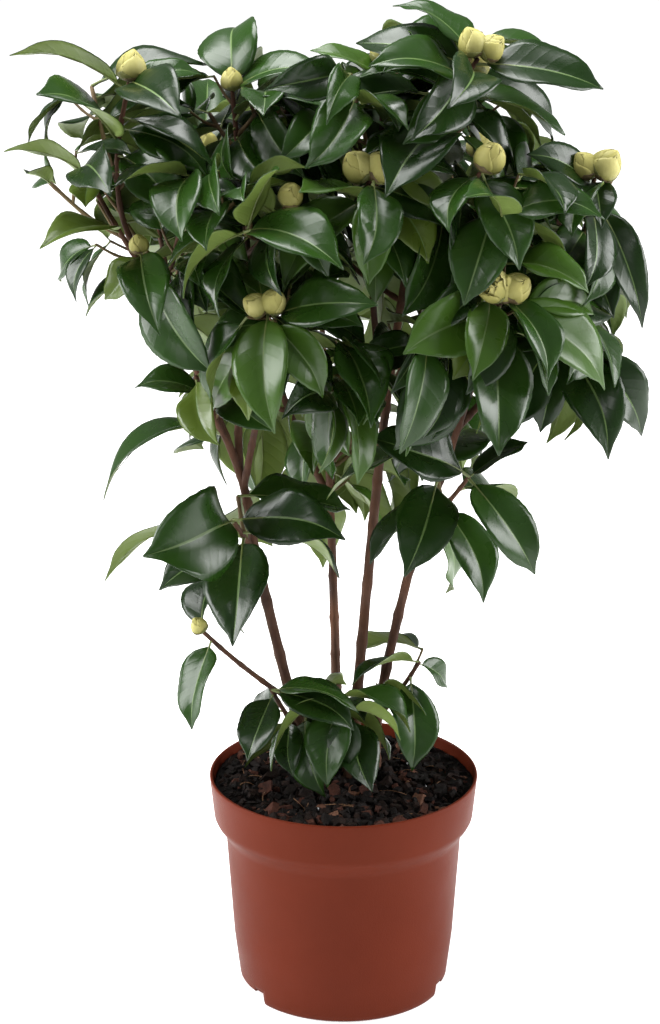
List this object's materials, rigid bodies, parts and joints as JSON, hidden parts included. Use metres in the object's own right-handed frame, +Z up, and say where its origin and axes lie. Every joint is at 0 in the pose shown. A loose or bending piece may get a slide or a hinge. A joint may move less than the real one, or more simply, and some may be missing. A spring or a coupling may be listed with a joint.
{
  "type": "potted camellia shrub",
  "caption": "Young camellia shrub with several stems, glossy leaves and pale yellow buds, in a round plastic nursery pot with bark-topped soil.",
  "frame": {"origin": "centre of the pot's flat underside, on the surface that the plant stands on", "axes": "+Z up along the plant, -Y towards the front of the plant, +X to its right seen from the front"},
  "size_m": [0.4312, 0.3297, 0.7131],
  "materials": {
    "pot_plastic": "terracotta coloured plastic, slightly satin",
    "soil": "moist dark potting soil with bark chips",
    "bark": "smooth reddish brown young bark",
    "leaves": "glossy dark green leaf, paler below",
    "buds": "pale yellow petals in green scales"
  },
  "bodies": {
    "root": {"pot": "pot_plastic", "soil": "soil", "stem_left": "bark", "stem_centre": "bark", "stem_right": "bark", "stem_back": "bark", "bough_left_inner": "bark", "bough_left_front": "bark", "bough_centre": "bark", "bough_right": "bark", "bough_back_left": "bark", "bough_back_right": "bark", "leaves_top_left": "leaves", "leaves_far_left": "leaves", "leaves_left_side": "leaves", "leaves_top_left_inner": "leaves", "leaves_front_left": "leaves", "leaves_centre": "leaves", "leaves_top_right": "leaves", "leaves_front_right": "leaves", "leaves_right_top": "leaves", "leaves_right_mid": "leaves", "leaves_left_mid": "leaves", "leaves_low_left": "leaves", "leaves_low_twig": "leaves", "leaves_right_low": "leaves", "leaves_foot_left": "leaves", "leaves_foot_front": "leaves", "leaves_foot_right": "leaves", "leaves_top_centre": "leaves", "leaves_top_middle": "leaves", "leaves_inner_left": "leaves", "leaves_left_inner": "leaves", "leaves_right_inner": "leaves", "leaves_centre_low": "leaves", "leaves_centre_right": "leaves", "leaves_middle": "leaves", "leaves_right_back": "leaves", "leaves_top_back": "leaves", "leaves_left_back": "leaves", "leaves_back_top": "leaves", "leaves_back_left": "leaves", "leaves_back_right": "leaves", "leaves_back_low_left": "leaves", "leaves_back_low_right": "leaves", "leaves_back_mid": "leaves"}
  },
  "joints": []
}
